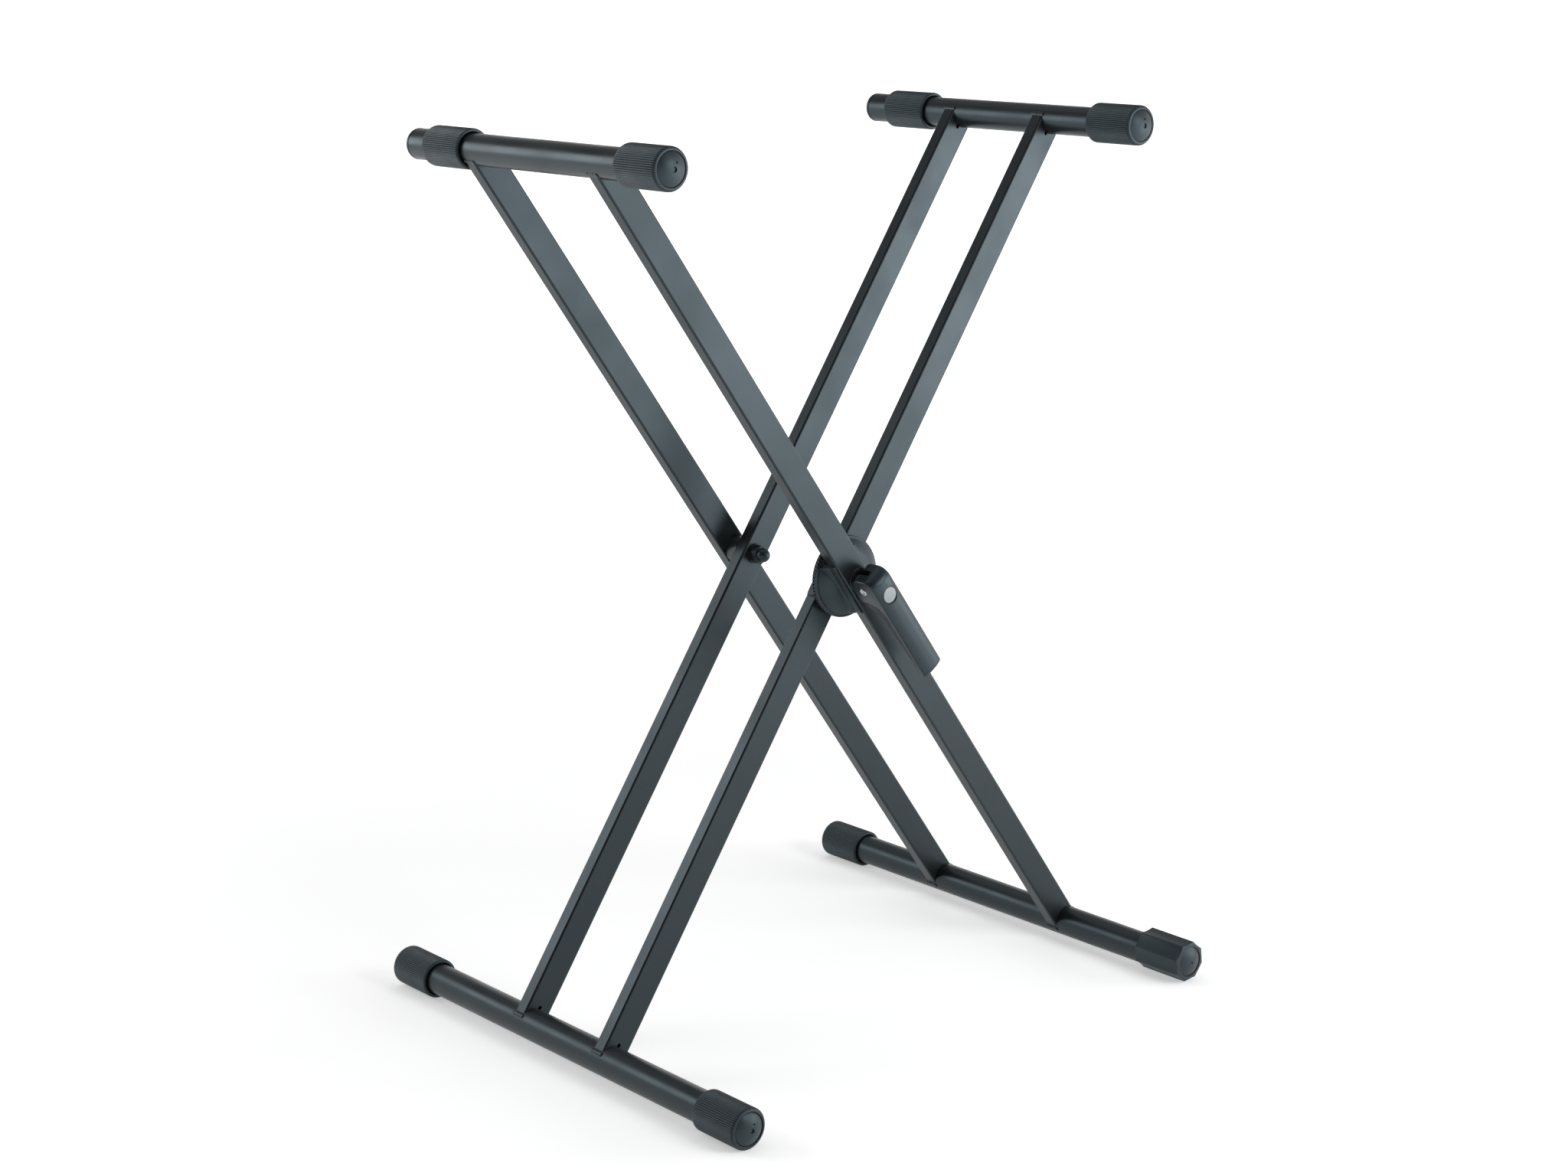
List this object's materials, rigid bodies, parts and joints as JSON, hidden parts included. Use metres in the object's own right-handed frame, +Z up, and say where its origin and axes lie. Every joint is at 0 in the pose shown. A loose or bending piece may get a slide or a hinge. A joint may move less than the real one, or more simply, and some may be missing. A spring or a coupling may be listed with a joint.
{
  "type": "keyboard stand",
  "caption": "Folding stand with crossed legs, padded bars above and rubber-capped foot bars below; a toothed clutch clamped by a cam lever sets its height and a turning cap levels it.",
  "frame": {"origin": "on the floor, under the middle of the stand and of its pivot axis", "axes": "+X across the spread of the legs, +Y along the bars away from the lever, +Z up"},
  "size_m": [0.6426, 0.5664, 0.9028],
  "materials": {
    "tube_coating": "satin black powder coat on steel tube",
    "cap_rubber": "matt moulded rubber",
    "plug_plastic": "satin moulded plastic",
    "clutch_plastic": "matt moulded glass-filled plastic",
    "lever_plastic": "fine-grained moulded plastic",
    "bearing_plastic": "smooth acetal",
    "black_steel": "black zinc plated steel",
    "zinc_steel": "bright zinc plated steel",
    "spring_steel": "drawn spring wire",
    "badge_metal": "satin blank disc"
  },
  "bodies": {
    "outer_frame": {"outer_leg_near": "tube_coating", "outer_leg_far": "tube_coating", "upper_tube_left": "tube_coating", "foot_tube_right": "tube_coating", "upper_cap_left": "cap_rubber", "upper_plug_left": "plug_plastic", "foot_cap_right_far": "cap_rubber", "outer_clutch_disc": "clutch_plastic", "outer_leg_bushes": "bearing_plastic", "pivot_bolt": "black_steel", "cap_nut": "black_steel", "pivot_washers": "zinc_steel", "pivot_spacer": "bearing_plastic", "release_spring": "spring_steel", "thrust_plate": "zinc_steel"},
    "inner_frame": {"inner_leg_near": "tube_coating", "inner_leg_far": "tube_coating", "upper_tube_right": "tube_coating", "foot_tube_left": "tube_coating", "upper_cap_right": "cap_rubber", "upper_plug_right": "plug_plastic", "foot_cap_left_near": "cap_rubber", "foot_cap_left_far": "cap_rubber", "inner_clutch_disc": "clutch_plastic", "inner_leg_bushes": "bearing_plastic"},
    "draw_bolt": {"eye_bolt": "zinc_steel", "draw_nut": "zinc_steel", "draw_washer": "zinc_steel"},
    "lever": {"clamp_lever": "lever_plastic", "lever_pin": "zinc_steel", "lever_badge": "badge_metal"},
    "left_sleeve": {"upper_sleeve_left": "cap_rubber"},
    "right_sleeve": {"upper_sleeve_right": "cap_rubber"},
    "levelling_foot": {"levelling_cap": "cap_rubber"}
  },
  "joints": [
    {"name": "fold", "type": "hinge", "parent": "outer_frame", "child": "inner_frame", "pos_m": [0, 0, 0.45311], "axis": [0, 1, 0], "range_deg": [-64, 38]},
    {"name": "draw_bolt_slide", "type": "slide", "parent": "outer_frame", "child": "draw_bolt", "axis": [0, 1, 0], "range_m": [0, 0.002]},
    {"name": "lever_swing", "type": "hinge", "parent": "draw_bolt", "child": "lever", "pos_m": [0, -0.1197, 0.45311], "axis": [-0.8216, 0, -0.57], "range_deg": [0, 90]},
    {"name": "left_sleeve_slide", "type": "slide", "parent": "outer_frame", "child": "left_sleeve", "axis": [0, 1, 0], "range_m": [0, 0.028]},
    {"name": "right_sleeve_slide", "type": "slide", "parent": "inner_frame", "child": "right_sleeve", "axis": [0, 1, 0], "range_m": [-0.025, 0.028]},
    {"name": "levelling_turn", "type": "hinge", "parent": "outer_frame", "child": "levelling_foot", "pos_m": [0.30039, 0, 0.0201], "axis": [0, 1, 0], "continuous": true}
  ],
  "couplings": [
    {"joint": "draw_bolt_slide", "follows": "lever_swing", "m_per_rad": 0.0012732}
  ]
}
